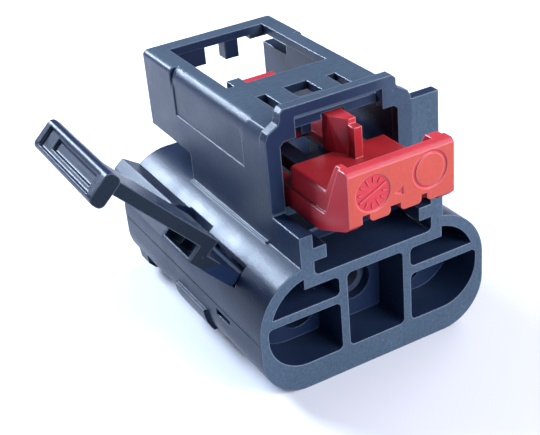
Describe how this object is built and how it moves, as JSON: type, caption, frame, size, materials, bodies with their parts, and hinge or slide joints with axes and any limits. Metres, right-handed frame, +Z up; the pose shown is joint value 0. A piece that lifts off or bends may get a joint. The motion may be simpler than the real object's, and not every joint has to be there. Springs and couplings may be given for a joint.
{
  "type": "sealed automotive connector",
  "caption": "Sealed automotive power connector housing with wire windows, seals, terminal carrier, latch box, red position slider and a hinged side lever.",
  "frame": {"origin": "on the flat underside, below the middle of the sleeve", "axes": "+X across the connector to the side away from the lever, +Y from the wire side to the mating end, +Z up from the flat underside to the latch box"},
  "size_m": [0.0557, 0.0536, 0.04],
  "materials": {
    "black_pbt": "satin, finely textured on the wire side",
    "red_pbt": "satin",
    "grey_pbt": "satin",
    "silicone": "matt"
  },
  "bodies": {
    "housing": {"connector_housing": "black_pbt", "terminal_carrier": "grey_pbt", "front_retainer": "black_pbt", "ring_seal": "silicone", "wire_seal_left": "silicone", "wire_seal_centre": "silicone", "wire_seal_right": "silicone"},
    "slider": {"cpa_slider": "red_pbt"},
    "lever": {"lock_lever": "black_pbt"}
  },
  "joints": [
    {"name": "slider_lock", "type": "slide", "parent": "housing", "child": "slider", "axis": [0, 1, 0], "range_m": [0, 0.005]},
    {"name": "lever_swing", "type": "hinge", "parent": "housing", "child": "lever", "pos_m": [-0.0166, 0, 0.0156], "axis": [0, 1, 0], "range_deg": [0, 43]}
  ]
}
